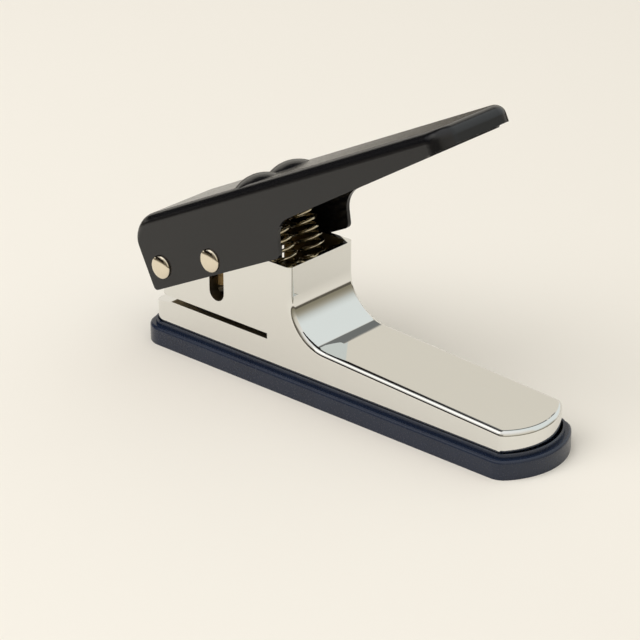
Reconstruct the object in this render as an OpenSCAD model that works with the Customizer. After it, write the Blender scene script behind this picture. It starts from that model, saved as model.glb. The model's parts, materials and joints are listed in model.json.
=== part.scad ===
// Guitar pick punch: a hand lever drives a pick-shaped punch through a card held in a slot.
// Frame: +X towards the rounded nose, +Y away from the viewer, +Z up, in millimetres.
// Origin: centre of the tray's underside, on the surface that the punch stands on.

/* [Frame casting] */
// Length of the casting from its rear end to the tip of the nose
frame_l = 158; // [150:1:170]
// Width of the casting
body_w = 31.4; // [31:0.2:34]
// Wall of the hollow casting
frame_wall = 1.6; // [1.2:0.1:1.8]
// Thickness of the front plate
plate_t = 2.4; // [1.6:0.1:3.2]
// Radius of the rear upright corners
rear_r = 5.5; // [4:0.5:8]
// Radius of the rounded nose in plan
nose_r = 22; // [20:0.5:30]
// Radius along the top edges of the plate, sweep and head
edge_r = 1.8; // [0.8:0.1:1.8]
// Length of the head, from the rear end of the casting to the head's front face
head_l = 64; // [62:0.5:68]
// How far the head's rear face stands in front of the lower jaw's rear end
head_setback = 3; // [2:0.5:4]
// Radius of the head's rear upright corners
head_corner_r = 5; // [2:0.5:6]
// Height of the head's rim above the ground
head_h = 44.6; // [44:0.1:45]
// Height of the plate's top at the foot of the concave sweep
plate_h = 18.8; // [18:0.1:20]
// Downward slope of the plate towards the nose, in degrees
plate_slope = 3; // [1:0.5:4]
// Radius of the concave sweep from the head down to the plate
sweep_r = 15.4; // [12:0.2:18]

/* [Card slot] */
// Height of the slot's floor above the ground
slot_z = 16.4; // [16:0.1:17]
// Height of the slot
slot_gap = 2; // [1.5:0.1:2.4]
// Depth of the slot from the rear end of the casting
slot_depth = 53.7; // [51:0.1:54]
// Length of the lead-in bevel on the lower jaw
lead_in_l = 9.6; // [5:0.2:10]
// Drop of the lead-in bevel at the rear end
lead_in_drop = 2.2; // [1:0.1:2.4]

/* [Lever] */
// Angle that the lever is raised by at rest, in degrees
lever_open = 26.5; // [24:0.5:28]
// Pivot pin, distance in front of the casting's rear end
pivot_back = 7.3; // [6.5:0.1:8]
// Pivot pin, height above the ground
pivot_z = 29.4; // [29:0.1:30]
// Thickness of the lever's sheet steel
lever_t = 1.5; // [1.2:0.1:1.8]
// Gap between the casting's side and the lever's flange
lever_gap = 0.5; // [0.3:0.05:0.8]
// Top of the lever above the pivot
lever_top = 18.2; // [18:0.1:20]
// Lever behind the pivot
lever_rear = 7.4; // [6:0.1:8]
// Lever in front of the pivot
lever_front = 141.5; // [125:0.5:145]
// Depth of the rear flanges below the pivot
flange_drop = 7.3; // [6:0.1:8]
// Length of the rear flanges along their lower edge, in front of the pivot
flange_l = 56.8; // [50:0.1:60]
// Lean of the flanges' front edge from upright, in degrees
flange_lean = 18; // [5:1:25]
// Height above the pivot where the flange's front edge meets the skirt
skirt_w = 3.85; // [2:0.05:6]
// Rise of the skirt's lower edge towards the front, in degrees
skirt_rise = 5.4; // [3:0.1:5.6]
// Step up of the lower edge just before the front lip
lip_step = 0.5; // [0.2:0.1:0.8]
// Radius between the flange's front edge and the skirt
flange_fillet_r = 9; // [4:0.5:10]
// Radius of the rear bend
lever_bend_r = 9; // [6:0.5:10]
// Radius along the lever's top edges
lever_edge_r = 3.5; // [2.5:0.1:4]
// Radius of the front corners in plan
lever_nose_r = 7; // [5:0.5:9]
// Distance of the spring domes in front of the pivot
dome_u = 48; // [47:0.1:49]
// Spacing of the two domes across the lever
dome_spacing = 15.6; // [15.2:0.1:16]
// Diameter of a dome
dome_d = 14.8; // [13.6:0.1:15]
// Height of a dome above the lever's top
dome_h = 2.3; // [1.8:0.1:2.8]

/* [Pins] */
// Diameter of both pins
pin_d = 4; // [3:0.1:4.4]
// Diameter of the pin heads and caps
pin_head_d = 8.3; // [7:0.1:9]
// Thickness of the pin heads and caps
pin_head_h = 1.5; // [1.2:0.1:2]
// Rise of the domed face of a pin head
pin_head_dome = 0.6; // [0.3:0.1:0.8]
// Drive pin in front of the pivot, with the lever level
drive_u = 24.4; // [24:0.1:25]
// Drive pin below the pivot, with the lever level
drive_drop = 2.2; // [1.5:0.1:3]

/* [Punch and die] */
// Length of the pick
pick_l = 29; // [26:0.2:30]
// Width of the pick
pick_w = 25; // [22:0.2:25.2]
// Radius of the pick's two shoulders
pick_shoulder_r = 6; // [4:0.2:7]
// Radius of the pick's tip
pick_tip_r = 3; // [2:0.2:4]
// Radius of the pick's bowed sides
pick_side_r = 46; // [36:1:80]
// Radius of the pick's bowed back
pick_back_r = 40; // [30:1:80]
// Thickness of the blade
blade_t = 4.5; // [4:0.1:5]
// Depth of the hollow ground into the blade's cutting face
blade_hollow = 1.2; // [0.6:0.1:1.6]
// How far the blade passes the die's face when the lever is down
punch_over = 1.8; // [1.4:0.1:2.2]
// Metal of the carrier above the drive pin
carrier_over = 3; // [2.5:0.1:3.2]
// Thickness of the lower jaw at the die
deck_t = 4; // [3.4:0.1:4.4]
// Rim of the die round the pick-shaped hole
die_rim = 1.3; // [1:0.1:1.4]
// Thickness of the die's flange
die_flange_t = 2.2; // [1.8:0.1:2.6]
// Height of the punch guide above the slot
guide_h = 11.6; // [11:0.1:12.4]

/* [Springs] */
// Outer diameter of a spring
spring_d = 9.8; // [9:0.1:10.2]
// Diameter of the spring wire
spring_wire = 1.2; // [0.9:0.1:1.3]
// Curls of a spring
spring_coils = 15; // [10:1:16]
// Spacing of the springs across the casting
spring_spacing = 13.4; // [12.6:0.1:15]
// How far the feet of the springs stand in front of the domes' place along the lever
spring_ahead = 1.3; // [0:0.1:2]
// Depth of the round wells that the springs stand in
spring_well = 7; // [5:0.1:8]

/* [Base tray] */
// Tray wall outside the casting
tray_wall = 3; // [1.8:0.1:3.6]
// Height of the tray's outer wall
tray_h = 6.4; // [5:0.1:7]
// Height of the tray's inner rim
tray_rim_h = 7.8; // [7.2:0.1:8.6]
// Thickness of the inner rim
tray_rim_w = 0.7; // [0.5:0.1:1.0]
// Thickness of the tray's floor
tray_floor = 1.8; // [1.2:0.1:2.4]
// Radius along the tray's outer top edge
tray_edge_r = 1; // [0.4:0.1:1.2]

/* [Clearances] */
// Radial clearance of a pressed pin
press_gap = 0.01; // [0.005:0.005:0.02]
// Radial clearance of a turning pin
run_gap = 0.05; // [0.02:0.01:0.1]
// Gap under a head that turns against a flange
head_gap = 0.15; // [0.1:0.05:0.3]
// Clearance between the blade and the die
die_gap = 0.08; // [0.05:0.01:0.12]
// Clearance between the punch and its guide
guide_gap = 0.15; // [0.1:0.01:0.2]
// Clearance between the casting and the tray
tray_fit = 0.3; // [0.2:0.05:0.5]
// Gap between the spring ends and their seats
spring_gap = 0.2; // [0.1:0.05:0.3]

/* [Hidden] */
$fn = 96;
// Overshoot of a cutting shape past the face that it cuts
cut = 1;

half_w = body_w / 2;
rear_x = -frame_l / 2;
nose_x = frame_l / 2;
nose_cx = nose_x - nose_r;
// Half angle of the cutters that round the nose's edge; they end clear of the sides
nose_cut_a = 70;
// Radius that the nose's edge has over the sides' edges, so that their mitre ends at a clean point
nose_extra_r = 0.05;

skirt_z = tray_floor;
deck_z = slot_z - deck_t;
slot_top = slot_z + slot_gap;
slot_end_x = rear_x + slot_depth;
head_x = rear_x + head_l;
head_rear_x = rear_x + head_setback;
sweep_x = head_x + sweep_r;
sweep_z = plate_h + sweep_r * cos(plate_slope);
foot_x = sweep_x - sweep_r * sin(plate_slope);

// Pivot, drive pin and punch
pivot_x = rear_x + pivot_back;
drive_r = norm([drive_u, drive_drop]);
drive_rest_a = lever_open - atan2(drive_drop, drive_u);
drive_x = pivot_x + drive_r * cos(drive_rest_a);
drive_z = pivot_z + drive_r * sin(drive_rest_a);
drive_sway = pivot_x + drive_r - drive_x;
punch_x = drive_x + drive_sway / 2;
punch_travel = drive_z - (pivot_z - drive_drop);
blade_z = slot_z - punch_over + punch_travel;
carrier_z = blade_z + blade_t;
carrier_top = drive_z + pin_d / 2 + carrier_over;
well_z = slot_top + guide_h;
seat_z = well_z - spring_well;
spring_x = pivot_x + dome_u + spring_ahead;

// Room round the drive pin in the casting's upright slots and in the carrier
pin_slot_side = 0.45;
pin_slot_end = 1.9;
carrier_side = 0.3;
carrier_lift = 0.25;
// Casting left in front of the pivot pin before the well begins
pivot_block = 4.8;
// Casting left above the pivot pin
pivot_cover = 7;
well_corner_r = 2;
spring_well_gap = 0.5;

// Lever
lever_half = half_w + lever_gap + lever_t;
skirt_u = flange_l + (skirt_w + flange_drop) * tan(flange_lean);
lever_under = 30;

// Screws and dowels of the die and the blade
screw_d = 2.5;
screw_head_d = 4.6;
screw_sink = 1.2;
dowel_d = 2.5;
fastener_edge = 3.2;
fastener_y = 9;
die_half_l = pick_l / 2 + die_rim + 2 * fastener_edge;
die_half_w = half_w - frame_wall - 0.2;
fastener_x = die_half_l - fastener_edge;
thread_l = 2.6;
blade_screw_d = 3;
blade_screw_head_d = 5.4;
blade_screw_head_h = 3;
blade_screw_x = 9.6;
blade_thread_l = 3;

chrome = "#D9D6CC";
steel = "#A9A7A2";
nickel = "#D9CDB8";
charcoal = "#3B3A38";
spring_steel = "#57524A";
navy = "#28314A";

// Slice of a disc between two angles
module sector(r, a0, a1) {
    intersection() {
        circle(r);
        polygon([[0, 0], 2 * r * [cos(a0), sin(a0)], 2 * r * [cos(a1), sin(a1)]]);
    }
}

// Plan outline of the casting, grown outwards by d: straight sides that end in the nose's arc
module outline(d = 0) {
    reach = frame_l + 4 * tray_wall;
    intersection() {
        union() {
            translate([rear_x + rear_r, -half_w - d])
                square([reach, body_w + 2 * d]);
            translate([rear_x - d, rear_r - half_w])
                square([reach, body_w - 2 * rear_r]);
            for (side = [0, 1])
                mirror([0, side])
                    translate([rear_x + rear_r, half_w - rear_r])
                        sector(rear_r + d, 90, 180);
        }
        union() {
            translate([nose_cx, 0])
                circle(nose_r + d);
            translate([nose_cx - reach, -body_w])
                square([reach, 2 * body_w]);
        }
    }
}

// Half section from the middle out to w, below y = 0, with its top edge rounded by r
module edge_section(w, depth, r) {
    translate([0, -depth])
        square([w - r, depth]);
    translate([0, -depth])
        square([w, depth - r]);
    translate([w - r, -r])
        sector(r, 0, 90);
}

// Rounds the top edge at z = 0 of an outline grown by d, from from_x round the nose
module nose_rounding(d, r, from_x) {
    for (side = [0, 1])
        mirror([0, side, 0])
            translate([from_x, half_w + d, 0])
                rotate([90, 0, 90])
                    linear_extrude(frame_l + 2 * tray_wall)
                        corner_cut(r);
    translate([nose_cx, 0, 0])
        rotate(-nose_cut_a)
            rotate_extrude(angle = 2 * nose_cut_a)
                translate([nose_r + d, 0])
                    corner_cut(r + nose_extra_r);
}

// Rounds the top edge at z = 0 round the rear end
module rear_rounding(d, r) {
    translate([rear_x - d, half_w - rear_r, 0])
        rotate([90, 0, 0])
            linear_extrude(body_w - 2 * rear_r)
                mirror([1, 0])
                    corner_cut(r);
    for (side = [0, 1])
        mirror([0, side, 0])
            translate([rear_x + rear_r, half_w - rear_r, 0])
                rotate(90)
                    rotate_extrude(angle = 90)
                        translate([rear_r + d, 0])
                            corner_cut(r);
}

// What a fillet of radius r takes off a square corner at the origin
module corner_cut(r) {
    translate([-r, -r])
        difference() {
            square(r + cut);
            circle(r);
        }
}

// Rectangle from corner p to corner q with round corners
module round_rect(p, q, r) {
    translate([p.x + r, p.y])
        square([q.x - p.x - 2 * r, q.y - p.y]);
    translate([p.x, p.y + r])
        square([q.x - p.x, q.y - p.y - 2 * r]);
    for (x = [p.x + r, q.x - r], y = [p.y + r, q.y - r])
        translate([x, y])
            circle(r);
}

// Lays a profile drawn in x and z across the whole width
module across(width) {
    translate([0, width / 2, 0])
        rotate([90, 0, 0])
            linear_extrude(width)
                children();
}

// Round bar across the object at x, z, from y0 to y1
module cross_bar(x, z, d, y0, y1) {
    translate([x, y1, z])
        rotate([90, 0, 0])
            cylinder(d = d, h = y1 - y0);
}

function unit(v) = v / norm(v);

// Points of an arc, without its last point
function arc_points(c, r, a0, a1, n = 10) =
    [for (i = [0:n - 1]) c + r * [cos(a0 + (a1 - a0) * i / n), sin(a0 + (a1 - a0) * i / n)]];

// Points that round a corner p between its neighbours a and b
function corner_points(a, p, b, r, n = 10) =
    let (
        u = unit(a - p),
        v = unit(b - p),
        half = acos(u * v) / 2,
        c = p + unit(u + v) * r / sin(half),
        t0 = p + u * r / tan(half) - c,
        t1 = p + v * r / tan(half) - c,
        a0 = atan2(t0.y, t0.x),
        turn = (atan2(t1.y, t1.x) - a0 + 540) % 360 - 180
    )
    [for (i = [0:n]) c + r * [cos(a0 + turn * i / n), sin(a0 + turn * i / n)]];

// Pick outline with its tip towards +X, grown outwards by d: six arcs that meet smoothly
function pick_points(d = 0) =
    let (
        tip = [pick_l / 2 - pick_tip_r, 0],
        back = [pick_back_r - pick_l / 2, 0],
        shoulder_y = pick_w / 2 - pick_shoulder_r,
        shoulder_x = back.x - sqrt(pow(pick_back_r - pick_shoulder_r, 2) - pow(shoulder_y, 2)),
        shoulder = [shoulder_x, shoulder_y],
        span = norm(tip - shoulder),
        along = unit(tip - shoulder),
        r_shoulder = pick_side_r - pick_shoulder_r,
        r_tip = pick_side_r - pick_tip_r,
        reach = (r_shoulder * r_shoulder - r_tip * r_tip + span * span) / (2 * span),
        side = shoulder + reach * along + sqrt(r_shoulder * r_shoulder - reach * reach) * [along.y, -along.x],
        a_tip = atan2(tip.y - side.y, tip.x - side.x),
        a_shoulder = atan2(shoulder.y - side.y, shoulder.x - side.x),
        a_back = atan2(shoulder.y, shoulder.x - back.x)
    )
    concat(
        arc_points(tip, pick_tip_r + d, -a_tip, a_tip),
        arc_points(side, pick_side_r + d, a_tip, a_shoulder),
        arc_points(shoulder, pick_shoulder_r + d, a_shoulder, a_back),
        arc_points(back, pick_back_r + d, a_back, 360 - a_back),
        arc_points([shoulder.x, -shoulder.y], pick_shoulder_r + d, 360 - a_back, 360 - a_shoulder),
        arc_points([side.x, -side.y], pick_side_r + d, 360 - a_shoulder, 360 - a_tip));

// Pick-shaped prism from z0 to z1 at the punch's place
module pick_prism(d, z0, z1) {
    translate([punch_x, 0, z0])
        linear_extrude(z1 - z0)
            polygon(pick_points(d));
}

// Turns the plate's level drawing to its slope, with its top surface at z = 0
module on_plate() {
    translate([foot_x, 0, plate_h])
        rotate([0, plate_slope, 0])
            translate([-foot_x, 0, 0])
                children();
}

// Part of the outline in front of x
module outline_ahead(x, d) {
    intersection() {
        outline(d);
        translate([x, -body_w])
            square([frame_l, 2 * body_w]);
    }
}

// Outer form of the casting, before it is hollowed
module casting_form() {
    sweep_t = sweep_r * 0.8;
    // Lower jaw and rear skirt
    translate([0, 0, skirt_z])
        linear_extrude(slot_z - skirt_z)
            difference() {
                outline();
                translate([foot_x + cut, -body_w])
                    square([frame_l, 2 * body_w]);
            }
    // Sloping plate with its side walls and nose
    intersection() {
        on_plate()
            difference() {
                translate([0, 0, -2 * plate_h])
                    linear_extrude(2 * plate_h)
                        outline_ahead(foot_x, 0);
                nose_rounding(0, edge_r, foot_x - cut);
            }
        translate([rear_x, -body_w, skirt_z])
            cube([2 * frame_l, 2 * body_w, head_h]);
    }
    // Concave sweep, turned about the axis of its hollow
    translate([sweep_x, 0, sweep_z])
        rotate([-90, 0, 0])
            rotate(90 + plate_slope)
                rotate_extrude(angle = 90 - plate_slope)
                    for (side = [0, 1])
                        mirror([0, side])
                            translate([sweep_r + sweep_t, half_w])
                                mirror([1, 0])
                                    edge_section(sweep_t, half_w, edge_r);
    // Head, with its front upright edges rounded above the sweep
    translate([0, 0, sweep_z])
        linear_extrude(head_h - sweep_z)
            head_plan(head_x, edge_r);
    translate([0, 0, slot_z - cut])
        linear_extrude(sweep_z - slot_z + 2 * cut)
            head_plan(head_x - edge_r - cut, 0);
}

// Plan of the head up to front_x, with its front corners rounded by r
module head_plan(front_x, r) {
    for (side = [0, 1])
        mirror([0, side]) {
            translate([head_rear_x + head_corner_r, 0])
                square([front_x - r - head_rear_x - head_corner_r, half_w]);
            translate([head_rear_x, 0])
                square([front_x - head_rear_x, half_w - max(r, head_corner_r)]);
            translate([head_rear_x + head_corner_r, 0])
                square([front_x - head_rear_x - head_corner_r, half_w - r]);
            translate([head_rear_x + head_corner_r, half_w - head_corner_r])
                sector(head_corner_r, 90, 180);
            if (r > 0)
                translate([front_x - r, half_w - r])
                    sector(r, 0, 90);
        }
}

// Everything that is cored or cut out of the casting
module casting_hollows() {
    // Hollow under the plate and, less high, under the lower jaw where the die sits
    intersection() {
        on_plate()
            translate([0, 0, -2 * plate_h])
                linear_extrude(2 * plate_h - plate_t)
                    outline(-frame_wall);
        union() {
            translate([rear_x + frame_wall, -body_w, skirt_z - cut])
                cube([2 * frame_l, 2 * body_w, deck_z - skirt_z + cut]);
            translate([slot_end_x + 2 * frame_wall, -body_w, skirt_z - cut])
                cube([2 * frame_l, 2 * body_w, head_h]);
        }
    }
    // Card slot with its lead-in
    translate([rear_x - cut, -body_w, slot_z])
        cube([slot_depth + cut, 2 * body_w, slot_gap]);
    across(2 * body_w)
        polygon([[rear_x + lead_in_l, slot_z], [rear_x, slot_z - lead_in_drop],
            [rear_x - cut, slot_z - lead_in_drop], [rear_x - cut, slot_z + slot_gap / 2],
            [rear_x + lead_in_l, slot_z + slot_gap / 2]]);
    // Die hole, punch guide and the open well above it
    pick_prism(die_rim + die_gap, deck_z - cut, slot_z + cut / 2);
    pick_prism(guide_gap, slot_top - cut / 2, well_z + cut);
    translate([0, 0, well_z])
        linear_extrude(head_h - well_z + cut)
            round_rect([pivot_x + pivot_block, frame_wall - half_w],
                [head_x - frame_wall, half_w - frame_wall], well_corner_r);
    for (side = [-1, 1])
        translate([spring_x, side * spring_spacing / 2, seat_z])
            cylinder(d = spring_d + 2 * spring_well_gap, h = spring_well + cut);
    // The rear end stays low, so that the lever's rear bend can come down over it
    translate([head_rear_x - cut, -body_w, pivot_z + pivot_cover])
        cube([pivot_x + pivot_block - head_rear_x + cut, 2 * body_w, head_h]);
    // Upright slots for the drive pin and the bore for the pivot pin
    across(body_w + 2 * cut)
        pin_slot(pin_d + drive_sway + 2 * pin_slot_side);
    cross_bar(pivot_x, pivot_z, pin_d + 2 * press_gap, -half_w - cut, half_w + cut);
    // Tapped holes for the die screws, and dowel holes
    translate([punch_x, 0, deck_z - cut]) {
        for (x = [-fastener_x, fastener_x], y = [-fastener_y, fastener_y])
            translate([x, y, 0])
                cylinder(d = screw_d + 2 * press_gap, h = thread_l + cut);
        for (x = [-fastener_x, fastener_x])
            translate([x, 0, 0])
                cylinder(d = dowel_d + 2 * press_gap, h = thread_l + cut);
    }
}

// Upright slot that the drive pin travels in
module pin_slot(width) {
    low = drive_z - punch_travel - pin_d / 2 - pin_slot_end + width / 2;
    high = drive_z + pin_d / 2 + pin_slot_end - width / 2;
    for (z = [low, high])
        translate([punch_x, z])
            circle(d = width);
    translate([punch_x - width / 2, low])
        square([width, high - low]);
}

module frame_casting() {
    color(chrome)
        difference() {
            casting_form();
            casting_hollows();
        }
}

// Steel die: a pick-shaped rim that fills the hole in the lower jaw, on a screwed flange
module die_plate() {
    color(steel)
        difference() {
            union() {
                pick_prism(die_rim, deck_z - die_flange_t, slot_z);
                translate([punch_x, 0, deck_z - die_flange_t])
                    linear_extrude(die_flange_t)
                        round_rect([-die_half_l, -die_half_w], [die_half_l, die_half_w], fastener_edge);
            }
            pick_prism(die_gap, deck_z - die_flange_t - cut, slot_z + cut);
            translate([punch_x, 0, deck_z - die_flange_t]) {
                for (x = [-fastener_x, fastener_x], y = [-fastener_y, fastener_y])
                    translate([x, y, 0])
                        screw_form(press_gap, cut);
                for (x = [-fastener_x, fastener_x])
                    translate([x, 0, -cut])
                        cylinder(d = dowel_d + 2 * press_gap, h = die_flange_t + 2 * cut);
            }
        }
}

// Countersunk screw that points up from the flange's underside, grown by gap
module screw_form(gap, below) {
    translate([0, 0, -below])
        cylinder(d = screw_head_d + 2 * gap, h = below + gap);
    cylinder(d1 = screw_head_d + 2 * gap, d2 = screw_d + 2 * gap, h = screw_sink);
    cylinder(d = screw_d + 2 * gap, h = die_flange_t + thread_l);
}

module die_screws() {
    color(steel)
        translate([punch_x, 0, deck_z - die_flange_t])
            for (x = [-fastener_x, fastener_x], y = [-fastener_y, fastener_y])
                translate([x, y, 0])
                    difference() {
                        screw_form(0, 0);
                        // Hexagon socket
                        translate([0, 0, -cut])
                            cylinder(d = screw_d * 0.7, h = screw_sink + cut, $fn = 6);
                    }
}

module die_dowels() {
    color(steel)
        translate([punch_x, 0, deck_z - die_flange_t])
            for (x = [-fastener_x, fastener_x])
                translate([x, 0, 0])
                    cylinder(d = dowel_d, h = die_flange_t + thread_l);
}

// Hardened blade, hollow ground so that its two ends cut first
module punch_blade() {
    hollow_r = (pow(pick_l / 2, 2) + pow(blade_hollow, 2)) / (2 * blade_hollow);
    color(steel)
        difference() {
            pick_prism(0, blade_z, carrier_z);
            cross_bar(punch_x, blade_z + blade_hollow - hollow_r, 2 * hollow_r, -body_w, body_w);
            for (x = [-blade_screw_x, blade_screw_x])
                translate([punch_x + x, 0, carrier_z - blade_thread_l])
                    cylinder(d = blade_screw_d + 2 * press_gap, h = blade_thread_l + cut);
        }
}

// Carrier above the blade, with the cross slot that the drive pin works in
module punch_carrier() {
    slot_h = pin_d + 2 * carrier_lift;
    slot_l = slot_h + drive_sway + 2 * carrier_side;
    color(steel)
        difference() {
            pick_prism(-guide_gap, carrier_z, carrier_top);
            across(2 * body_w)
                translate([punch_x, drive_z]) {
                    translate([(slot_h - slot_l) / 2, -slot_h / 2])
                        square([slot_l - slot_h, slot_h]);
                    for (side = [-1, 1])
                        translate([side * (slot_l - slot_h) / 2, 0])
                            circle(d = slot_h);
                }
            for (x = [-blade_screw_x, blade_screw_x])
                translate([punch_x + x, 0, 0]) {
                    translate([0, 0, carrier_z - cut])
                        cylinder(d = blade_screw_d + 2 * press_gap, h = carrier_top);
                    translate([0, 0, carrier_top - blade_screw_head_h])
                        cylinder(d = blade_screw_head_d + 2 * press_gap, h = blade_screw_head_h + cut);
                }
        }
}

module punch_screws() {
    color(steel)
        for (x = [-blade_screw_x, blade_screw_x])
            translate([punch_x + x, 0, 0])
                difference() {
                    union() {
                        translate([0, 0, carrier_z - blade_thread_l])
                            cylinder(d = blade_screw_d, h = carrier_top - carrier_z + blade_thread_l - cut);
                        translate([0, 0, carrier_top - blade_screw_head_h])
                            cylinder(d = blade_screw_head_d, h = blade_screw_head_h);
                    }
                    translate([0, 0, carrier_top - blade_screw_head_h / 2])
                        cylinder(d = blade_screw_d * 0.9, h = blade_screw_head_h, $fn = 6);
                }
}

// Places a lever drawn level, with the pivot at its origin, at its raised rest pose
module at_pivot() {
    translate([pivot_x, 0, pivot_z])
        rotate([0, -lever_open, 0])
            children();
}

// Closed form of the lever, shrunk inwards by i, open below
module lever_form(i) {
    half = lever_half - i;
    bend_r = lever_bend_r - i;
    edge = lever_edge_r - i;
    // The edge radius leaves the bend on a wider arc, and is gone where the bend ends
    fade_r = ceil(10 * (pow(bend_r + edge, 2) + pow(bend_r, 2)) / (2 * bend_r)) / 10;
    nose = lever_nose_r - i;
    rear = i - lever_rear;
    front = lever_front - i;
    top = lever_top - i;
    difference() {
        intersection() {
            across(2 * half)
                union() {
                    translate([rear, -lever_under])
                        square([front - rear, top - bend_r + lever_under]);
                    translate([rear + bend_r, -lever_under])
                        square([front - rear - bend_r, top + lever_under]);
                    translate([rear + bend_r, top - bend_r])
                        circle(bend_r);
                }
            translate([0, 0, -lever_under])
                linear_extrude(2 * lever_under) {
                    translate([rear, -half])
                        square([front - rear - nose, 2 * half]);
                    translate([front - 2 * nose, nose - half])
                        square([2 * nose, 2 * (half - nose)]);
                    for (side = [-1, 1])
                        translate([front - nose, side * (half - nose)])
                            circle(nose);
                }
        }
        for (side = [0, 1])
            mirror([0, side, 0]) {
                // Long top edges
                translate([rear + bend_r, half, top])
                    rotate([90, 0, 90])
                        linear_extrude(front - nose - rear - bend_r)
                            corner_cut(edge);
                // Front corners
                translate([front - nose, half - nose, top])
                    rotate_extrude(angle = 90)
                        translate([nose, 0])
                            corner_cut(edge);
                // Running out round the rear bend
                translate([rear + bend_r, 0, top - fade_r])
                    rotate([-90, 0, 0])
                        rotate(180)
                            rotate_extrude(angle = 90)
                                translate([fade_r, half])
                                    corner_cut(edge);
            }
        // Front edge
        translate([front, half - nose, top])
            rotate([90, 0, 0])
                linear_extrude(2 * (half - nose))
                    corner_cut(edge);
    }
}

// Side view of the lever's flanges and skirt, with everything above them
module lever_profile() {
    rear = -lever_rear;
    front = lever_front + cut;
    high = lever_top + dome_h;
    root = [skirt_u, skirt_w];
    step_u = lever_front - lever_nose_r - 3 * lip_step;
    step = [step_u, skirt_w + (step_u - skirt_u) * tan(skirt_rise)];
    tip = [front, skirt_w + (front - skirt_u) * tan(skirt_rise) + lip_step];
    toe = [flange_l, -flange_drop];
    heel = [rear, -flange_drop];
    polygon(concat(
        corner_points([rear, high], heel, toe, lever_t),
        corner_points(heel, toe, root, 1.5 * lever_t),
        corner_points(toe, root, step, flange_fillet_r),
        [step, step + lip_step * [1, 1 + tan(skirt_rise)], tip, [front, high], [rear, high]]));
}

module lever() {
    dome_r = (pow(dome_d / 2, 2) + pow(dome_h, 2)) / (2 * dome_h);
    color(charcoal)
        at_pivot()
            difference() {
                union() {
                    difference() {
                        intersection() {
                            lever_form(0);
                            across(2 * lever_half)
                                lever_profile();
                        }
                        lever_form(lever_t);
                        // The rear wall ends where the bend ends
                        translate([-2 * lever_rear, lever_t - lever_half, -lever_under])
                            cube([2 * lever_rear, 2 * (lever_half - lever_t), lever_top - lever_bend_r + lever_under]);
                    }
                    for (side = [-1, 1])
                        translate([dome_u, side * dome_spacing / 2, lever_top - lever_t])
                            intersection() {
                                translate([0, 0, dome_h + lever_t - dome_r])
                                    sphere(dome_r);
                                cylinder(d = dome_d + 2 * cut, h = dome_h + 2 * lever_t);
                            }
                }
                for (side = [-1, 1])
                    translate([dome_u, side * dome_spacing / 2, lever_top - lever_t])
                        intersection() {
                            translate([0, 0, dome_h + lever_t - dome_r])
                                sphere(dome_r - lever_t);
                            translate([0, 0, -cut])
                                cylinder(d = dome_d, h = dome_h + 2 * lever_t);
                        }
                cross_bar(0, 0, pin_d + 2 * run_gap, -lever_half - cut, lever_half + cut);
                cross_bar(drive_u, -drive_drop, pin_d + 2 * press_gap, -lever_half - cut, lever_half + cut);
            }
}

// Domed head of a pin, with its flat face at z = 0
module pin_head() {
    dome_r = (pow(pin_head_d / 2, 2) + pow(pin_head_dome, 2)) / (2 * pin_head_dome);
    intersection() {
        cylinder(d = pin_head_d, h = pin_head_h);
        translate([0, 0, pin_head_h - dome_r])
            sphere(dome_r);
    }
}

// Headed pin across the lever at x, z, with its head and cap standing off the flanges by gap
module headed_pin(x, z, gap) {
    color(nickel) {
        cross_bar(x, z, pin_d, -lever_half - gap - pin_head_h / 3, lever_half + gap + pin_head_h / 2);
        translate([x, -lever_half - gap, z])
            rotate([90, 0, 0])
                pin_head();
    }
}

module pin_cap(x, z, gap) {
    color(nickel)
        difference() {
            translate([x, lever_half + gap, z])
                rotate([-90, 0, 0])
                    pin_head();
            cross_bar(x, z, pin_d + 2 * press_gap, 0, lever_half + gap + pin_head_h / 2);
        }
}

module pivot_pin() {
    headed_pin(pivot_x, pivot_z, head_gap);
}

module pivot_pin_cap() {
    pin_cap(pivot_x, pivot_z, head_gap);
}

module drive_pin() {
    headed_pin(drive_x, drive_z, 0);
}

module drive_pin_cap() {
    pin_cap(drive_x, drive_z, 0);
}

// Point of the lever's level drawing, as [x, z] at rest
function lever_point(u, w) =
    [pivot_x + u * cos(lever_open) - w * sin(lever_open), pivot_z + u * sin(lever_open) + w * cos(lever_open)];

// Axis of a spring: upright out of its well, square to the lever at its dome
spring_low = [spring_x, seat_z + spring_gap + spring_wire];
spring_high = lever_point(dome_u, lever_top - spring_gap - lever_t);
spring_pull = norm(spring_high - spring_low) / 3;
spring_bend = [spring_low + [0, spring_pull],
    spring_high - spring_pull * [-sin(lever_open), cos(lever_open)]];
function spring_axis(t) =
    pow(1 - t, 3) * spring_low + 3 * pow(1 - t, 2) * t * spring_bend[0]
    + 3 * (1 - t) * t * t * spring_bend[1] + t * t * t * spring_high;
function spring_lean(t) =
    unit((1 - t) * (1 - t) * (spring_bend[0] - spring_low)
    + 2 * (1 - t) * t * (spring_bend[1] - spring_bend[0]) + t * t * (spring_high - spring_bend[1]));

// Middle line of the wire about the axis, with a straight end leg at both ends
spring_steps = 8;
spring_r = (spring_d - spring_wire) / 2;
function coil_point(t) =
    let (
        c = spring_axis(t),
        lean = spring_lean(t),
        a = 360 * spring_coils * t
    )
    [c.x + spring_r * cos(a) * lean.y, spring_r * sin(a), c.y - spring_r * cos(a) * lean.x];
coil = [for (i = [0:spring_coils * spring_steps]) coil_point(i / (spring_coils * spring_steps))];
spring_path = concat(
    [coil[0] - [0, 0, spring_wire]],
    coil,
    [coil[len(coil) - 1] + spring_wire * [-sin(lever_open), 0, cos(lever_open)]]);

// Least gap of the wire to its own neighbouring curls
spring_self_gap = min([for (i = [0:len(coil) - 1], j = [i + spring_steps / 2:1:len(coil) - 1])
    norm(coil[i] - coil[j])]) - spring_wire;
echo(str("least gap of a spring to itself: ", spring_self_gap, " mm"));

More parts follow.
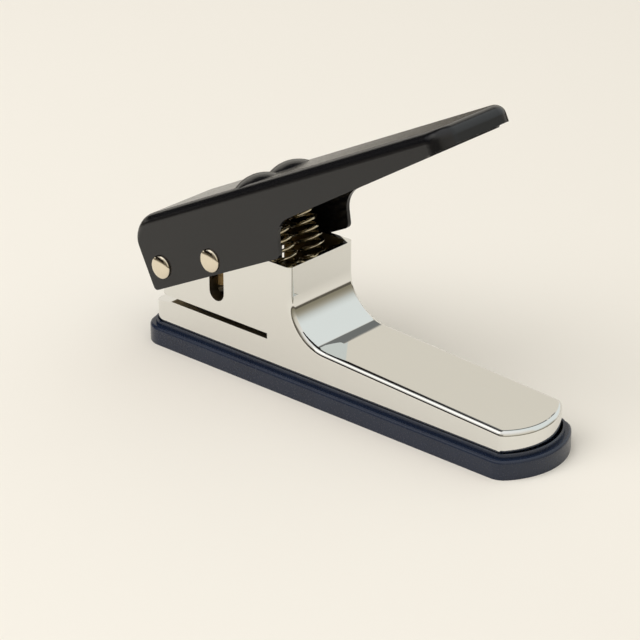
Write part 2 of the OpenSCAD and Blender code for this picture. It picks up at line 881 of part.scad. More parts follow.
// Tube of six sides along a path of points
module wire(path, d) {
    sides = 6;
    last = len(path) - 1;
    function heading(i) = unit(path[min(i + 1, last)] - path[max(i - 1, 0)]);
    function ring(i) =
        let (
            t = heading(i),
            n = unit(cross(t, [0.3, 0.1, 1])),
            b = cross(t, n)
        )
        [for (k = [0:sides - 1]) path[i] + d / 2 * (cos(60 * k) * n + sin(60 * k) * b)];
    points = [for (i = [0:last]) each ring(i)];
    walls = [for (i = [0:last - 1], k = [0:sides - 1])
        let (p = i * sides + k, q = i * sides + (k + 1) % sides)
        each [[p, q, p + sides], [q, q + sides, p + sides]]];
    caps = [for (k = [1:sides - 2])
        each [[0, k + 1, k], [last * sides, last * sides + k, last * sides + k + 1]]];
    polyhedron(points, concat(walls, caps));
}

module spring(side) {
    color(spring_steel)
        translate([0, side * spring_spacing / 2, 0])
            wire(spring_path, spring_wire);
}

module spring_near() {
    spring(-1);
}

module spring_far() {
    spring(1);
}

// Tray that catches the picks: a stepped rim round the foot of the casting
module base_tray() {
    round_r = min(tray_edge_r, tray_wall - tray_fit - tray_rim_w - 0.15);
    color(navy)
        difference() {
            union() {
                difference() {
                    linear_extrude(tray_h)
                        outline(tray_wall);
                    translate([0, 0, tray_h]) {
                        nose_rounding(tray_wall, round_r, rear_x + rear_r);
                        rear_rounding(tray_wall, round_r);
                    }
                }
                translate([0, 0, tray_floor])
                    linear_extrude(tray_rim_h - tray_floor)
                        outline(tray_fit + tray_rim_w);
            }
            translate([0, 0, tray_floor])
                linear_extrude(tray_rim_h)
                    outline(tray_fit);
        }
}

frame_casting();
die_plate();
die_screws();
die_dowels();
punch_blade();
punch_carrier();
punch_screws();
lever();
pivot_pin();
pivot_pin_cap();
drive_pin();
drive_pin_cap();
spring_near();
spring_far();
base_tray();
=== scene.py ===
"""Dresses the guitar pick punch: a chromed casting, a black lever on two pins, springs and a navy tray."""

import json
import math

import bmesh
import bpy
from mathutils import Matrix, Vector

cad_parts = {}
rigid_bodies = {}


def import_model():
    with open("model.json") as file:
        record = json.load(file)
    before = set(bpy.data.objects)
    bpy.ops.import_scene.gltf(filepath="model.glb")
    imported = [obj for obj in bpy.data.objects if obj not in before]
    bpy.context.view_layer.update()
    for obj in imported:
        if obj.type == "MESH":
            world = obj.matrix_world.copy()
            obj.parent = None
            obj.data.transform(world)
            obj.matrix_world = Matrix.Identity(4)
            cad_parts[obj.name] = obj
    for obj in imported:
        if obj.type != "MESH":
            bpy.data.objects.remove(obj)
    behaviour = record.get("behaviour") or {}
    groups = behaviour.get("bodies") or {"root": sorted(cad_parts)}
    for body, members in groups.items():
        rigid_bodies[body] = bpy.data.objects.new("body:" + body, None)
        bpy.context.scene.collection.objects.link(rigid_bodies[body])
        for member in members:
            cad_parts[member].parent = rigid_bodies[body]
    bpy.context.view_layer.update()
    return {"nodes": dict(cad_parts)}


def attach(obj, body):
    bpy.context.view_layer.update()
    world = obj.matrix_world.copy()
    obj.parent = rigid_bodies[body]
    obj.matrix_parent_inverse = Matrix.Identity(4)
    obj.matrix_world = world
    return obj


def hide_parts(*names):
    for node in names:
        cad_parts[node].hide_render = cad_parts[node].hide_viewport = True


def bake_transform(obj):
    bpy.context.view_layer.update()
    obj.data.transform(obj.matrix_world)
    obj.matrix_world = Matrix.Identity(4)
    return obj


for leftover in list(bpy.data.objects):
    bpy.data.objects.remove(leftover)
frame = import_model()


# Frame: one zinc die casting that is the long foot plate, the sweep and the hollow head with its card slot.
# It is polished all over and plated with bright chrome, so it shows little but what stands round it.
def colour(code):
    """sRGB hex to the linear RGBA that Blender's sockets take."""
    channels = [int(code[i:i + 2], 16) / 255 for i in (1, 3, 5)]
    return [c / 12.92 if c <= 0.04045 else ((c + 0.055) / 1.055) ** 2.4 for c in channels] + [1.0]


def add(tree, kind, settings, inputs):
    """One node with its settings, each input a plain value or the socket that feeds it."""
    node = tree.nodes.new(kind)
    for name, value in settings.items():
        setattr(node, name, value)
    for name, value in inputs.items():
        if isinstance(value, bpy.types.NodeSocket):
            tree.links.new(value, node.inputs[name])
        else:
            node.inputs[name].default_value = value
    return node


def new_finish(name):
    """An empty material: its tree, its shader and Object coordinates."""
    finish = bpy.data.materials.new(name)
    finish.use_nodes = True
    tree = finish.node_tree
    tree.nodes.clear()
    shader = add(tree, "ShaderNodeBsdfPrincipled", {}, {})
    add(tree, "ShaderNodeOutputMaterial", {}, {"Surface": shader.outputs["BSDF"]})
    place = add(tree, "ShaderNodeTexCoord", {}, {}).outputs["Object"]
    return finish, tree, shader, place


def fit_finish(node, finish):
    """Puts a finish on a CAD node, in place of the plain one that it comes with."""
    piece = frame["nodes"][node]
    piece.data.materials.clear()
    piece.data.materials.append(finish)


def inside(tree, place, low, high):
    """1 within the box from low to high, in millimetres, and 0 outside it."""
    middle = [(a + b) / 2000 for a, b in zip(low, high)]
    half = [(b - a) / 2000 for a, b in zip(low, high)]
    off = add(tree, "ShaderNodeVectorMath", {"operation": "SUBTRACT"}, {0: place, 1: middle})
    off = add(tree, "ShaderNodeVectorMath", {"operation": "DIVIDE"}, {0: off.outputs[0], 1: half})
    off = add(tree, "ShaderNodeVectorMath", {"operation": "ABSOLUTE"}, {0: off.outputs[0]})
    part = add(tree, "ShaderNodeSeparateXYZ", {}, {"Vector": off.outputs[0]}).outputs
    most = add(tree, "ShaderNodeMath", {"operation": "MAXIMUM"}, {0: part["X"], 1: part["Y"]})
    most = add(tree, "ShaderNodeMath", {"operation": "MAXIMUM"}, {0: most.outputs[0], 1: part["Z"]})
    return add(tree, "ShaderNodeMath", {"operation": "LESS_THAN"}, {0: most.outputs[0], 1: 1.0}).outputs[0]


# Bright chrome over polished zinc: a near mirror, a shade darker than what it reflects.
# The casting under it is never quite flat, so reflections bend a little over 20 mm or so.
# Plating hardly reaches the well in the head and the card slot, which stay dull grey zinc.
chrome, tree, shader, place = new_finish("bright_chrome")
shader.inputs["Metallic"].default_value = 1.0
well = inside(tree, place, (-75.2, -14.2, 18.45), (-16.5, 14.2, 44.55))
slot = inside(tree, place, (-78.9, -15.6, 16.3), (-25.0, 15.6, 18.5))
pin_ways = inside(tree, place, (-51.4, -15.66, 23.2), (-44.6, 15.66, 42.3))
bare = add(tree, "ShaderNodeMath", {"operation": "MAXIMUM"}, {0: well, 1: slot}).outputs[0]
bare = add(tree, "ShaderNodeMath", {"operation": "MAXIMUM"}, {0: bare, 1: pin_ways}).outputs[0]
tone = add(tree, "ShaderNodeMix", {"data_type": "RGBA"},
           {0: bare, 6: colour("#E5E5E2"), 7: colour("#9A8F78")})
tree.links.new(tone.outputs[2], shader.inputs["Base Color"])
# The polish is a little uneven, in patches about 17 mm wide.
haze = add(tree, "ShaderNodeTexNoise", {}, {"Vector": place, "Scale": 60.0, "Detail": 3.0})
shine = add(tree, "ShaderNodeMapRange", {}, {"Value": haze.outputs["Fac"], "To Min": 0.025, "To Max": 0.06})
shine = add(tree, "ShaderNodeMix", {"data_type": "FLOAT"}, {0: bare, 2: shine.outputs["Result"], 3: 0.42})
tree.links.new(shine.outputs[0], shader.inputs["Roughness"])
swell = add(tree, "ShaderNodeTexNoise", {}, {"Vector": place, "Scale": 50.0, "Detail": 1.0})
wave = add(tree, "ShaderNodeBump", {}, {"Height": swell.outputs["Fac"], "Strength": 0.006, "Distance": 0.01})
tree.links.new(wave.outputs["Normal"], shader.inputs["Normal"])
fit_finish("frame_casting", chrome)

# Each upright corner where a side meets the nose is rounded. All the outlines, the casting's and those of
# the tray round it, share the centre of this rounding. Sizes are in metres.
half_w = 0.0157
nose_r = 0.022
nose_cx = 0.057
corner_r = 0.0035
corner_y = half_w - corner_r
corner_x = nose_cx + math.sqrt((nose_r - corner_r) ** 2 - corner_y ** 2)
corner_turn = math.atan2(corner_y, corner_x - nose_cx)
corner_cuts = 10
merge_gap = 1e-7
# Above this height the casting's faces slope, and below it they are level.
slope_from_z = 0.012
# A face counts as upright where more than this share of its normal is level.
upright_from = 0.2


def round_nose(node, slope):
    """A merged copy of a CAD node with its nose corners rounded, its upper faces falling by slope along X."""
    mesh = frame["nodes"][node].data.copy()
    kept = mesh.attributes.new("cad_normal", "FLOAT_VECTOR", "CORNER")
    for entry, normal in zip(kept.data, mesh.corner_normals):
        entry.vector = normal.vector
    solid = bmesh.new()
    solid.from_mesh(mesh)
    bmesh.ops.remove_doubles(solid, verts=solid.verts, dist=merge_gap)
    facing = solid.loops.layers.float_vector["cad_normal"]
    for side in (-1, 1):
        for i in range(corner_cuts + 1):
            angle = corner_turn + (math.pi / 2 - corner_turn) * i / corner_cuts
            near = [face for face in solid.faces
                    if any(v.co.x > corner_x and v.co.y * side > corner_y for v in face.verts)]
            edges = dict.fromkeys(edge for face in near for edge in face.edges)
            corners = dict.fromkeys(v for face in near for v in face.verts)
            near += [*edges, *corners]
            bmesh.ops.bisect_plane(solid, geom=near, dist=merge_gap,
                                   plane_co=(corner_x, side * corner_y, 0.0),
                                   plane_no=(-math.sin(angle), side * math.cos(angle), 0.0))
    bmesh.ops.triangulate(solid, faces=[face for face in solid.faces if len(face.verts) > 3])
    for v in solid.verts:
        side = math.copysign(1.0, v.co.y)
        reach = Vector((v.co.x - corner_x, abs(v.co.y) - corner_y))
        outside = max(abs(v.co.y) - half_w, math.hypot(v.co.x - nose_cx, v.co.y) - nose_r)
        if reach.x < 0 or math.atan2(reach.y, reach.x) < corner_turn or outside < -corner_r:
            continue
        reach.normalize()
        new_x = corner_x + reach.x * (corner_r + outside)
        if v.co.z > slope_from_z:
            v.co.z -= (new_x - v.co.x) * slope
        v.co.x = new_x
        v.co.y = side * (corner_y + reach.y * (corner_r + outside))
        for loop in v.link_loops:
            flat = loop[facing].xy.length
            if flat > upright_from:
                flat = math.copysign(flat, loop[facing].x * reach.x + loop[facing].y * reach.y * side)
                loop[facing] = (flat * reach.x, flat * reach.y * side, loop[facing].z)
    solid.to_mesh(mesh)
    solid.free()
    mesh.shade_smooth()
    mesh.normals_split_custom_set([entry.vector.normalized() for entry in mesh.attributes["cad_normal"].data])
    mesh.attributes.remove(mesh.attributes["cad_normal"])
    piece = bpy.data.objects.new(node + "_rounded", mesh)
    bpy.context.scene.collection.objects.link(piece)
    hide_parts(node)
    return piece


plate_slope = math.radians(3)
casting = round_nose("frame_casting", math.tan(plate_slope))
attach(casting, "frame")


# Die: a pick-shaped ring on a flange, screwed and dowelled up into the lower jaw from below.
# Hardened tool steel, ground on its faces and left bare.
tool_steel, tree, shader, place = new_finish("ground_tool_steel")
shader.inputs["Metallic"].default_value = 1.0
# Grinding marks run across the piece about 0.3 mm apart, drawn at 0.5 mm so that they show.
stretch = add(tree, "ShaderNodeMapping", {}, {"Vector": place, "Scale": (2000.0, 60.0, 60.0)})
marks = add(tree, "ShaderNodeTexNoise", {},
            {"Vector": stretch.outputs["Vector"], "Scale": 1.0, "Detail": 2.0})
tone = add(tree, "ShaderNodeValToRGB", {}, {"Fac": marks.outputs["Fac"]})
tone.color_ramp.elements[0].color = colour("#7F7E7C")
tone.color_ramp.elements[1].color = colour("#A9A8A4")
tree.links.new(tone.outputs["Color"], shader.inputs["Base Color"])
dull = add(tree, "ShaderNodeMapRange", {}, {"Value": marks.outputs["Fac"], "To Min": 0.24, "To Max": 0.4})
tree.links.new(dull.outputs["Result"], shader.inputs["Roughness"])
scratch = add(tree, "ShaderNodeBump", {},
              {"Height": marks.outputs["Fac"], "Strength": 0.15, "Distance": 0.0002})
tree.links.new(scratch.outputs["Normal"], shader.inputs["Normal"])
for node in ("die_plate", "die_screws", "die_dowels"):
    fit_finish(node, tool_steel)


# Punch: the pick-shaped blade, hollow ground below, held under its carrier by two cap screws.
# Both are hardened in oil, which leaves them brown, and the screws are of the same bare steel as the die.
browned_steel, tree, shader, place = new_finish("oil_browned_steel")
shader.inputs["Metallic"].default_value = 1.0
# Hot oil browns the steel in clouds about 6 mm wide.
cloud = add(tree, "ShaderNodeTexNoise", {}, {"Vector": place, "Scale": 160.0, "Detail": 3.0})
tone = add(tree, "ShaderNodeValToRGB", {}, {"Fac": cloud.outputs["Fac"]})
tone.color_ramp.elements[0].color = colour("#7C6544")
tone.color_ramp.elements[1].color = colour("#A38B61")
tree.links.new(tone.outputs["Color"], shader.inputs["Base Color"])
dull = add(tree, "ShaderNodeMapRange", {}, {"Value": cloud.outputs["Fac"], "To Min": 0.4, "To Max": 0.55})
tree.links.new(dull.outputs["Result"], shader.inputs["Roughness"])
fit_finish("punch_blade", browned_steel)
fit_finish("punch_carrier", browned_steel)
fit_finish("punch_screws", tool_steel)


# Lever: one blank of sheet steel, drawn to a channel with deep rear flanges, a front lip and, over the
# springs, two domes. Stoved black enamel, satin, with the faint orange peel of a sprayed coat.
black_enamel, tree, shader, place = new_finish("satin_black_enamel")
# The coat is thin over pressed steel: its colour shifts a little over about 15 mm.
cloud = add(tree, "ShaderNodeTexNoise", {}, {"Vector": place, "Scale": 65.0, "Detail": 2.0})
tone = add(tree, "ShaderNodeValToRGB", {}, {"Fac": cloud.outputs["Fac"]})
tone.color_ramp.elements[0].color = colour("#0F0F12")
tone.color_ramp.elements[1].color = colour("#141416")
tree.links.new(tone.outputs["Color"], shader.inputs["Base Color"])
shader.inputs["IOR"].default_value = 1.47
# Orange peel about 0.4 mm across, drawn at 0.6 mm so that it shows.
peel = add(tree, "ShaderNodeTexNoise", {}, {"Vector": place, "Scale": 1700.0, "Detail": 2.0})
satin = add(tree, "ShaderNodeMapRange", {}, {"Value": peel.outputs["Fac"], "To Min": 0.16, "To Max": 0.22})
tree.links.new(satin.outputs["Result"], shader.inputs["Roughness"])
skin = add(tree, "ShaderNodeBump", {}, {"Height": peel.outputs["Fac"], "Strength": 0.12, "Distance": 0.0002})
tree.links.new(skin.outputs["Normal"], shader.inputs["Normal"])
fit_finish("lever", black_enamel)


# Pins: the pivot pin behind and the drive pin ahead, each a turned shank with a low domed head.
# Nickel plated steel, with a cap of the same form pressed on the far end.
nickel, tree, shader, place = new_finish("nickel_plate")
shader.inputs["Base Color"].default_value = colour("#E6DCC8")
shader.inputs["Metallic"].default_value = 1.0
# Turning leaves a soft grain about 0.4 mm wide under the plating.
grain = add(tree, "ShaderNodeTexNoise", {}, {"Vector": place, "Scale": 1500.0, "Detail": 3.0})
shine = add(tree, "ShaderNodeMapRange", {}, {"Value": grain.outputs["Fac"], "To Min": 0.08, "To Max": 0.16})
tree.links.new(shine.outputs["Result"], shader.inputs["Roughness"])
head_r = 0.00415
shank_r = 0.002
bore_r = 0.00205
rim_h = 0.0003
dome_h = 0.0012
dome_steps = 14


def turned(name, x, z, profile):
    """A mesh turned about the line along Y through x, z, from (y, radius) points, closed at both ends."""
    sides = 72
    points = [(x, profile[0][0], z)]
    faces = []
    for y, radius in profile[1:-1]:
        for i in range(sides):
            angle = math.tau * i / sides
            points.append((x + radius * math.cos(angle), y, z + radius * math.sin(angle)))
    points.append((x, profile[-1][0], z))
    for i in range(sides):
        j = (i + 1) % sides
        faces.append((0, 1 + i, 1 + j))
        for ring in range(len(profile) - 3):
            low = 1 + ring * sides
            high = low + sides
            faces.append((low + i, high + i, high + j, low + j))
        last = 1 + (len(profile) - 3) * sides
        faces.append((last + j, last + i, len(points) - 1))
    mesh = bpy.data.meshes.new(name)
    mesh.from_pydata(points, [], faces)
    solid = bmesh.new()
    solid.from_mesh(mesh)
    bmesh.ops.recalc_face_normals(solid, faces=solid.faces)
    solid.to_mesh(mesh)
    solid.free()
    mesh.shade_smooth()
    mesh.set_sharp_from_angle(angle=math.radians(40))
    piece = bpy.data.objects.new(name, mesh)
    bpy.context.scene.collection.objects.link(piece)
    return piece


for pin, body, x, z, flange_y in (("pivot_pin", "frame", -0.0717, 0.0294, 0.01785),
                                  ("drive_pin", "lever", -0.04888, 0.03832, 0.0177)):
    top_y = flange_y + rim_h + dome_h
    dome = []
    for i in range(dome_steps + 1):
        angle = math.pi / 2 * i / dome_steps
        dome.append((top_y - dome_h * (1 - math.cos(angle)), head_r * math.sin(angle)))
    deep_y = flange_y + (rim_h + dome_h) / 2
    headed = [(-y, radius) for y, radius in dome] + [(-flange_y, head_r), (-flange_y, shank_r),
                                                    (deep_y, shank_r), (deep_y, 0.0)]
    capped = dome + [(flange_y, head_r), (flange_y, bore_r), (deep_y, bore_r), (deep_y, 0.0)]
    for node, profile in ((pin, headed), (pin + "_cap", capped)):
        piece = turned(node + "_turned", x, z, profile)
        piece.data.materials.append(nickel)
        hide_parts(node)
        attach(piece, body)


# Springs: a pair of compression springs side by side, from wells in the casting up into the lever's domes.
# Round music wire with closed ends, drawn bright and oiled, and bowed because the open lever leans back.
spring_steel, tree, shader, place = new_finish("oiled_music_wire")
shader.inputs["Metallic"].default_value = 1.0
# Drawn wire is streaked along its length, here about 1 mm apart.
streak = add(tree, "ShaderNodeTexNoise", {}, {"Vector": place, "Scale": 900.0, "Detail": 2.0})
tone = add(tree, "ShaderNodeValToRGB", {}, {"Fac": streak.outputs["Fac"]})
tone.color_ramp.elements[0].color = colour("#C4B798")
tone.color_ramp.elements[1].color = colour("#EADFC6")
tree.links.new(tone.outputs["Color"], shader.inputs["Base Color"])
shine = add(tree, "ShaderNodeMapRange", {}, {"Value": streak.outputs["Fac"], "To Min": 0.07, "To Max": 0.13})
tree.links.new(shine.outputs["Result"], shader.inputs["Roughness"])

winding = bpy.data.node_groups.new("spring_winding", "GeometryNodeTree")
socket_ids = {}
for name, kind in (("Foot", "NodeSocketVector"), ("Foot Handle", "NodeSocketVector"),
                   ("Top Handle", "NodeSocketVector"), ("Top", "NodeSocketVector"),
                   ("Coils", "NodeSocketFloat"), ("Coil Radius", "NodeSocketFloat"),
                   ("Wire Radius", "NodeSocketFloat"), ("Steps", "NodeSocketInt")):
    socket_ids[name] = winding.interface.new_socket(name, in_out="INPUT", socket_type=kind).identifier
winding.interface.new_socket("Geometry", in_out="OUTPUT", socket_type="NodeSocketGeometry")
given = add(winding, "NodeGroupInput", {}, {}).outputs
axis = add(winding, "GeometryNodeCurvePrimitiveBezierSegment", {"mode": "POSITION"},
           {"Resolution": 64, "Start": given["Foot"], "Start Handle": given["Foot Handle"],
            "End Handle": given["Top Handle"], "End": given["Top"]})
thread = add(winding, "GeometryNodeCurvePrimitiveLine", {}, {})
thread = add(winding, "GeometryNodeResampleCurve", {},
             {"Curve": thread.outputs["Curve"], "Count": given["Steps"]})
along = add(winding, "GeometryNodeSplineParameter", {}, {}).outputs["Factor"]
# The pitch closes up over the first and the last coil, so each end lies flat on its seat.
rise = add(winding, "ShaderNodeFloatCurve", {}, {"Value": along})
for share, height in ((0.066, 0.031), (0.132, 0.09), (0.5, 0.5), (0.868, 0.91), (0.934, 0.969)):
    rise.mapping.curves[0].points.new(share, height)
rise.mapping.update()
spot = add(winding, "GeometryNodeSampleCurve", {"mode": "FACTOR"},
           {"Curves": axis.outputs["Curve"], "Factor": rise.outputs["Value"]})
turn = add(winding, "ShaderNodeMath", {"operation": "MULTIPLY"}, {0: along, 1: given["Coils"]})
turn = add(winding, "ShaderNodeMath", {"operation": "MULTIPLY"}, {0: turn.outputs[0], 1: math.tau})
ahead = add(winding, "ShaderNodeVectorMath", {"operation": "CROSS_PRODUCT"},
            {0: (0.0, 1.0, 0.0), 1: spot.outputs["Tangent"]})
cosine = add(winding, "ShaderNodeMath", {"operation": "COSINE"}, {0: turn.outputs[0]})
sine = add(winding, "ShaderNodeMath", {"operation": "SINE"}, {0: turn.outputs[0]})
ahead = add(winding, "ShaderNodeVectorMath", {"operation": "SCALE"},
            {0: ahead.outputs[0], "Scale": cosine.outputs[0]})
aside = add(winding, "ShaderNodeVectorMath", {"operation": "SCALE"},
            {0: (0.0, 1.0, 0.0), "Scale": sine.outputs[0]})
reach = add(winding, "ShaderNodeVectorMath", {"operation": "ADD"}, {0: ahead.outputs[0], 1: aside.outputs[0]})
reach = add(winding, "ShaderNodeVectorMath", {"operation": "SCALE"},
            {0: reach.outputs[0], "Scale": given["Coil Radius"]})
reach = add(winding, "ShaderNodeVectorMath", {"operation": "ADD"},
            {0: spot.outputs["Position"], 1: reach.outputs[0]})
coil = add(winding, "GeometryNodeSetPosition", {},
           {"Geometry": thread.outputs["Curve"], "Position": reach.outputs[0]})
wire = add(winding, "GeometryNodeCurvePrimitiveCircle", {},
           {"Resolution": 12, "Radius": given["Wire Radius"]})
drawn = add(winding, "GeometryNodeCurveToMesh", {},
            {"Curve": coil.outputs["Geometry"], "Profile Curve": wire.outputs["Curve"], "Fill Caps": True})
smooth = add(winding, "GeometryNodeSetShadeSmooth", {}, {"Geometry": drawn.outputs["Mesh"]})
whole = add(winding, "GeometryNodeRealizeInstances", {}, {"Geometry": smooth.outputs["Geometry"]})
done = add(winding, "GeometryNodeSetMaterial", {},
           {"Geometry": whole.outputs["Geometry"], "Material": spring_steel})
add(winding, "NodeGroupOutput", {}, {"Geometry": done.outputs["Geometry"]})

coils = 18.0
steps_a_coil = 30
coil_r = 0.0043
wire_r = 0.0006
spring_y = 0.0067
seat_x = -0.0224
seat_z = 0.0237
dome_x = -0.03611
dome_z = 0.06558
into_dome = 0.0005
lean = math.radians(26.5)
rest_normal = Vector((-math.sin(lean), 0.0, math.cos(lean)))
for node, y in (("spring_near", -spring_y), ("spring_far", spring_y)):
    foot = Vector((seat_x, y, seat_z))
    top = Vector((dome_x, y, dome_z)) + rest_normal * into_dome
    pull = (top - foot).length / 3
    blank = bpy.data.objects.new(node + "_blank", bpy.data.meshes.new(node + "_blank"))
    bpy.context.scene.collection.objects.link(blank)
    wind = blank.modifiers.new("wind", "NODES")
    wind.node_group = winding
    wind[socket_ids["Foot"]] = foot
    wind[socket_ids["Foot Handle"]] = foot + Vector((0.0, 0.0, pull))
    wind[socket_ids["Top Handle"]] = top - rest_normal * pull
    wind[socket_ids["Top"]] = top
    wind[socket_ids["Coils"]] = coils
    wind[socket_ids["Coil Radius"]] = coil_r
    wind[socket_ids["Wire Radius"]] = wire_r
    wind[socket_ids["Steps"]] = round(coils * steps_a_coil) + 1
    bpy.context.view_layer.update()
    wound = bpy.data.meshes.new_from_object(blank.evaluated_get(bpy.context.evaluated_depsgraph_get()))
    bpy.data.objects.remove(blank)
    spring = bpy.data.objects.new(node + "_wire", wound)
    bpy.context.scene.collection.objects.link(spring)
    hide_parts(node)
    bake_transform(spring)


# Base tray: a moulded tub that the foot of the frame snaps into, and that catches the punched picks.
# Navy polypropylene with a satin skin, and a thin rim standing up round the casting.
navy_plastic, tree, shader, place = new_finish("navy_polypropylene")
# The melt cools in faint clouds about 11 mm wide.
flow = add(tree, "ShaderNodeTexNoise", {}, {"Vector": place, "Scale": 90.0, "Detail": 2.0})
tone = add(tree, "ShaderNodeValToRGB", {}, {"Fac": flow.outputs["Fac"]})
tone.color_ramp.elements[0].color = colour("#151D30")
tone.color_ramp.elements[1].color = colour("#1C273B")
tree.links.new(tone.outputs["Color"], shader.inputs["Base Color"])
shader.inputs["IOR"].default_value = 1.49
# The spark-eroded mould leaves a grain of about 0.3 mm, drawn at 0.5 mm so that it shows.
spark = add(tree, "ShaderNodeTexNoise", {}, {"Vector": place, "Scale": 2000.0, "Detail": 2.0})
satin = add(tree, "ShaderNodeMapRange", {}, {"Value": spark.outputs["Fac"], "To Min": 0.2, "To Max": 0.32})
tree.links.new(satin.outputs["Result"], shader.inputs["Roughness"])
skin = add(tree, "ShaderNodeBump", {}, {"Height": spark.outputs["Fac"], "Strength": 0.04, "Distance": 0.0001})
tree.links.new(skin.outputs["Normal"], shader.inputs["Normal"])
fit_finish("base_tray", navy_plastic)
tray = round_nose("base_tray", 0.0)
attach(tray, "tray")


# Studio: a plain cream paper floor that runs out of sight on all sides, among pale walls with dim parts.
# A broad soft lamp hangs high up in front, and a weak one, which shows in the metal, stands on the left.
cream = colour("#F2ECE2")
paper, tree, shader, place = new_finish("cream_paper")
# Painted reflection: to mirror-like pieces alone the paper turns dark brown from 0.3 to 0.4 m off, though
# under the lamps it stays cream.
far = add(tree, "ShaderNodeVectorMath", {"operation": "LENGTH"}, {0: place})
painted_dark_reflection = add(tree, "ShaderNodeMapRange", {"interpolation_type": "SMOOTHSTEP"},
          {"Value": far.outputs["Value"], "From Min": 0.27, "From Max": 0.42})
in_metal = add(tree, "ShaderNodeLightPath", {}, {}).outputs["Is Glossy Ray"]
painted_dark_reflection = add(tree, "ShaderNodeMath", {"operation": "MULTIPLY"}, {0: painted_dark_reflection.outputs["Result"], 1: in_metal})
# The dark brown here is a painted reflection, not a colour of the paper.
tone = add(tree, "ShaderNodeMix", {"data_type": "RGBA"},
           {0: painted_dark_reflection.outputs[0], 6: cream, 7: colour("#5F584C")})
tree.links.new(tone.outputs[2], shader.inputs["Base Color"])
# To the camera the paper runs into a backdrop of the same cream well behind the part.
eye = add(tree, "ShaderNodeLightPath", {}, {}).outputs["Is Camera Ray"]
backdrop = add(tree, "ShaderNodeMapRange", {"interpolation_type": "SMOOTHSTEP"},
               {"Value": far.outputs["Value"], "From Min": 0.6, "From Max": 1.4})
backdrop = add(tree, "ShaderNodeMath", {"operation": "MULTIPLY"}, {0: backdrop.outputs["Result"], 1: eye})
plain = add(tree, "ShaderNodeEmission", {}, {"Color": cream, "Strength": 1.0})
both = add(tree, "ShaderNodeMixShader", {},
           {0: backdrop.outputs[0], 1: shader.outputs["BSDF"], 2: plain.outputs["Emission"]})
tree.links.new(both.outputs["Shader"], tree.get_output_node("ALL").inputs["Surface"])
shader.inputs["Roughness"].default_value = 0.9
shader.inputs["Specular IOR Level"].default_value = 0.1
floor_half = 5.0
floor_corners = [(x * floor_half, y * floor_half, 0.0) for x, y in ((-1, -1), (1, -1), (1, 1), (-1, 1))]
sheet = bpy.data.meshes.new("floor")
sheet.from_pydata(floor_corners, [], [(0, 1, 2, 3)])
sheet.materials.append(paper)
floor = bpy.data.objects.new("floor", sheet)
bpy.context.scene.collection.objects.link(floor)

room = bpy.data.worlds.new("room")
bpy.context.scene.world = room
room.use_nodes = True
tree = room.node_tree
tree.nodes.clear()
ray = add(tree, "ShaderNodeTexCoord", {}, {}).outputs["Generated"]
heading = add(tree, "ShaderNodeSeparateXYZ", {}, {"Vector": ray}).outputs
walls = add(tree, "ShaderNodeValToRGB", {}, {"Fac": heading["Z"]})
walls.color_ramp.elements[0].color = colour("#F1ECE2")
walls.color_ramp.elements[1].color = colour("#FFFFFF")
for level, code in ((0.5, "#E6E0D3"), (0.8, "#F4F2EE")):
    walls.color_ramp.elements.new(level).color = colour(code)
seen = walls.outputs["Color"]
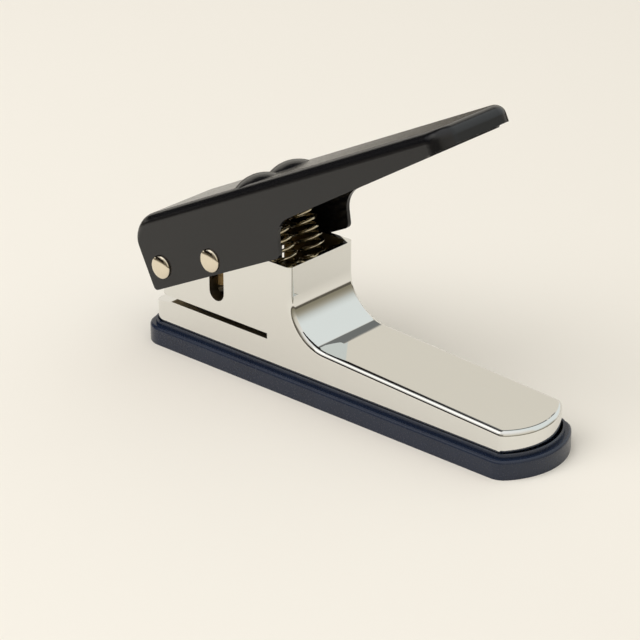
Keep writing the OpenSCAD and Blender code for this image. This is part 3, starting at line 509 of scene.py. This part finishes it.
# In turn: a wide cool window behind, the brown room below it on the right, a grey and a dark beam under the
# ceiling on the left, the dim room in front, and two darker parts of it, in front on the left and far left.
for code, limits in (
        ("#EDF3F2", (("X", -0.25, -0.21), ("Y", 0.3, 0.45), ("Z", 0.1, 0.3))),
        ("#8F8976", (("X", 0.3, 0.5), ("Z", 0.5, 0.02))),
        ("#787A79", (("X", -0.22, -0.26), ("Y", -0.3, -0.22), ("Z", 0.53, 0.56), ("Z", 0.88, 0.82))),
        ("#211D18", (("X", -0.46, -0.54), ("Y", -0.3, -0.22), ("Z", 0.52, 0.55), ("Z", 0.88, 0.82))),
        ("#6E685E", (("X", 0.55, 0.42), ("Y", -0.35, -0.5), ("Z", 0.8, 0.2))),
        ("#1E1A15", (("X", -0.15, -0.3), ("Y", -0.35, -0.5), ("Z", 0.6, 0.3))),
        ("#1E1A15", (("X", -0.62, -0.7), ("Y", 0.3, 0.2), ("Z", 0.05, 0.12), ("Z", 0.85, 0.8)))):
    cover = 1.0
    for way, edge, full in limits:
        fade = add(tree, "ShaderNodeMapRange", {"interpolation_type": "SMOOTHSTEP"},
                   {"Value": heading[way], "From Min": edge, "From Max": full})
        joined = add(tree, "ShaderNodeMath", {"operation": "MULTIPLY"}, {0: cover, 1: fade.outputs["Result"]})
        cover = joined.outputs[0]
    seen = add(tree, "ShaderNodeMix", {"data_type": "RGBA"}, {0: cover, 6: seen, 7: colour(code)}).outputs[2]
# Past the floor's end the camera sees plain cream on every side.
eye = add(tree, "ShaderNodeLightPath", {}, {}).outputs["Is Camera Ray"]
seen = add(tree, "ShaderNodeMix", {"data_type": "RGBA"}, {0: eye, 6: seen, 7: cream}).outputs[2]
light = add(tree, "ShaderNodeBackground", {}, {"Color": seen, "Strength": 1.0})
add(tree, "ShaderNodeOutputWorld", {}, {"Surface": light.outputs["Background"]})

for name, direction, distance, size, power, tint, glossy in (
        ("key", (-0.52, -0.53, 0.67), 1.2, 0.9, 1.3, "#FFFFFF", True),
        ("overhead", (-0.2, -0.75, 1.0), 2.6, 2.2, 32.8, "#FAFCFF", False)):
    lamp = bpy.data.lights.new(name, "AREA")
    lamp.size = size
    lamp.energy = power
    lamp.color = colour(tint)[:3]
    holder = bpy.data.objects.new(name, lamp)
    holder.location = Vector(direction).normalized() * distance
    holder.rotation_euler = Vector(direction).to_track_quat("Z", "Y").to_euler()
    holder.visible_glossy = glossy
    bpy.context.scene.collection.objects.link(holder)

# The camera stands well back with a long lens, a little above the open lever.
camera_turn = math.radians(41.61)
camera_rise = math.radians(24.9)
camera_range = 0.90946
looked_at = Vector((-0.04549, 0.03332, 0.0))
level = math.cos(camera_rise)
to_camera = Vector((math.sin(camera_turn) * level, -math.cos(camera_turn) * level, math.sin(camera_rise)))
lens = bpy.data.cameras.new("camera")
lens.lens = 146.25
lens.sensor_width = 36.0
lens.clip_end = 50.0
camera = bpy.data.objects.new("camera", lens)
camera.location = looked_at + to_camera * camera_range
camera.rotation_euler = to_camera.to_track_quat("Z", "Y").to_euler()
bpy.context.scene.collection.objects.link(camera)
bpy.context.scene.camera = camera
bpy.context.scene.view_settings.view_transform = "Standard"
